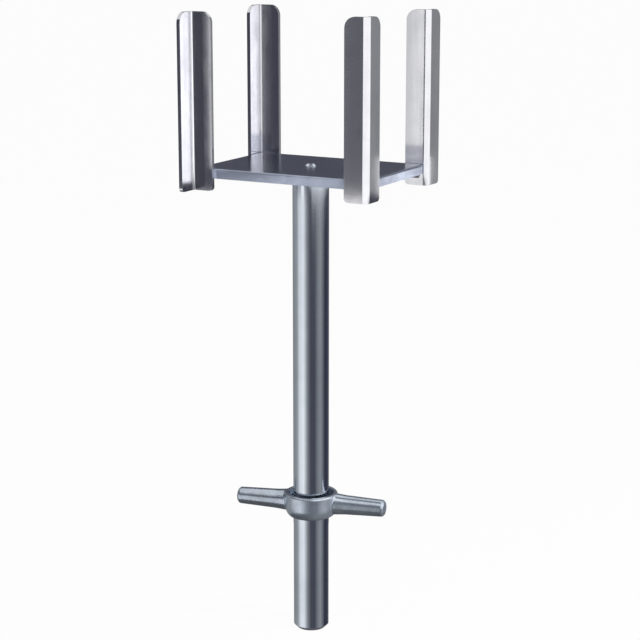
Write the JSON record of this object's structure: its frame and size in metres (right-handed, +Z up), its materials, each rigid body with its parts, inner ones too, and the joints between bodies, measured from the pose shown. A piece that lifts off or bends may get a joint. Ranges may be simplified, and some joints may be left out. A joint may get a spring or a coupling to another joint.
{
  "type": "fork head jack",
  "caption": "Adjustable fork head jack: angle posts around a flat head plate hold a beam, above a round stem with a handled nut that sets the height.",
  "frame": {"origin": "middle of the stem's lower end", "axes": "+Z up along the stem towards the head plate, +X along the head plate's longer side"},
  "size_m": [0.203, 0.185, 0.662],
  "materials": {
    "plate_steel": "zinc plated, satin",
    "post_steel": "zinc plated, bright",
    "stem_steel": "zinc plated, bright drawn bar",
    "nut_casting": "zinc plated casting, slightly rough",
    "weld": "zinc plated weld bead"
  },
  "bodies": {
    "head": {"head_plate": "plate_steel", "post_front_left": "post_steel", "post_front_right": "post_steel", "post_back_left": "post_steel", "post_back_right": "post_steel", "post_weld_front_left": "weld", "post_weld_front_right": "weld", "post_weld_back_left": "weld", "post_weld_back_right": "weld", "stem": "stem_steel", "stem_weld": "weld"},
    "nut": {"handle_nut": "nut_casting"}
  },
  "joints": [
    {"name": "nut_travel", "type": "slide", "parent": "head", "child": "nut", "axis": [0, 0, 1], "range_m": [-0.006, 0.325]}
  ]
}
